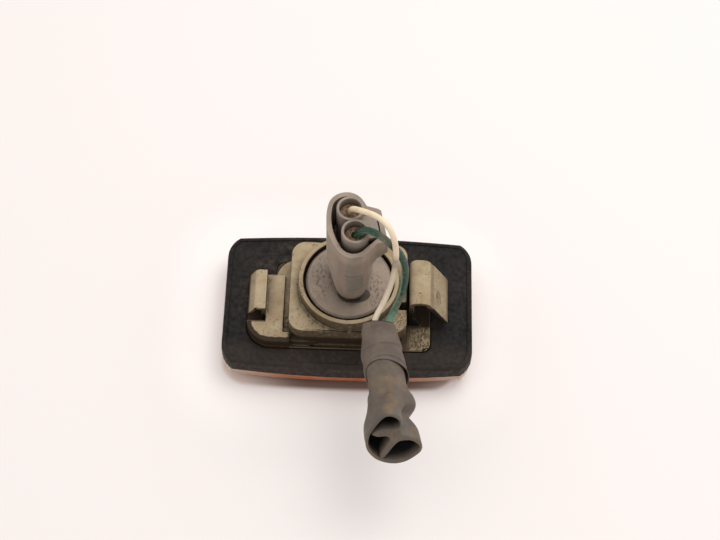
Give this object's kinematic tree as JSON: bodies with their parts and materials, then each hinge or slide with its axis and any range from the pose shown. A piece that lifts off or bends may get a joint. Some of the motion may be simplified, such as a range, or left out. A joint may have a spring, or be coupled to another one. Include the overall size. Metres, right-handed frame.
{
  "type": "side repeater lamp",
  "caption": "Amber side repeater lamp with a rubber gasket, clip-in housing, wedge bulb holder, plug and a short cut wire tail.",
  "frame": {"origin": "on the surface that the lens's crown rests on, under the middle of the gasket", "axes": "+X along the lamp from the fixed hook to the spring clip, +Y across the lamp away from the wire tail, +Z out of the back, as the lamp lies on its lens"},
  "size_m": [0.08, 0.0867, 0.0716],
  "materials": {
    "lens_amber": "clear amber moulding, polished outside, fluted inside",
    "housing_plastic": "aged cream-grey moulding, yellowed and grimy in its grooves",
    "gasket_rubber": "dusty black rubber",
    "holder_plastic": "taupe-grey moulding with brown grime",
    "bulb_glass": "clear",
    "bulb_metal": "drawn wire",
    "contact_brass": "stamped strip, dull",
    "plug_plastic": "grey moulding",
    "seal_rubber": "brown silicone, grimy",
    "wire_cream": "cream insulation with a grey stain",
    "wire_green": "dark and light green insulation, dusty",
    "sleeve_vinyl": "soft grey-brown sleeve, semi-matt",
    "sleeve_tape": "grey cloth-like tape, semi-matt"
  },
  "bodies": {
    "root": {"lens": "lens_amber", "housing": "housing_plastic", "gasket": "gasket_rubber", "bulb_holder": "holder_plastic", "holder_seal": "gasket_rubber", "bulb": "bulb_glass", "bulb_filament": "bulb_metal", "bulb_lead_left": "bulb_metal", "bulb_lead_right": "bulb_metal", "contact_left": "contact_brass", "contact_right": "contact_brass", "plug_housing": "plug_plastic", "plug_seal": "seal_rubber", "wire_seal_white": "seal_rubber", "wire_seal_green": "seal_rubber", "terminal_white": "contact_brass", "terminal_green": "contact_brass", "white_wire": "wire_cream", "green_wire": "wire_green", "sleeve": "sleeve_vinyl", "sleeve_tape": "sleeve_tape"}
  },
  "joints": []
}
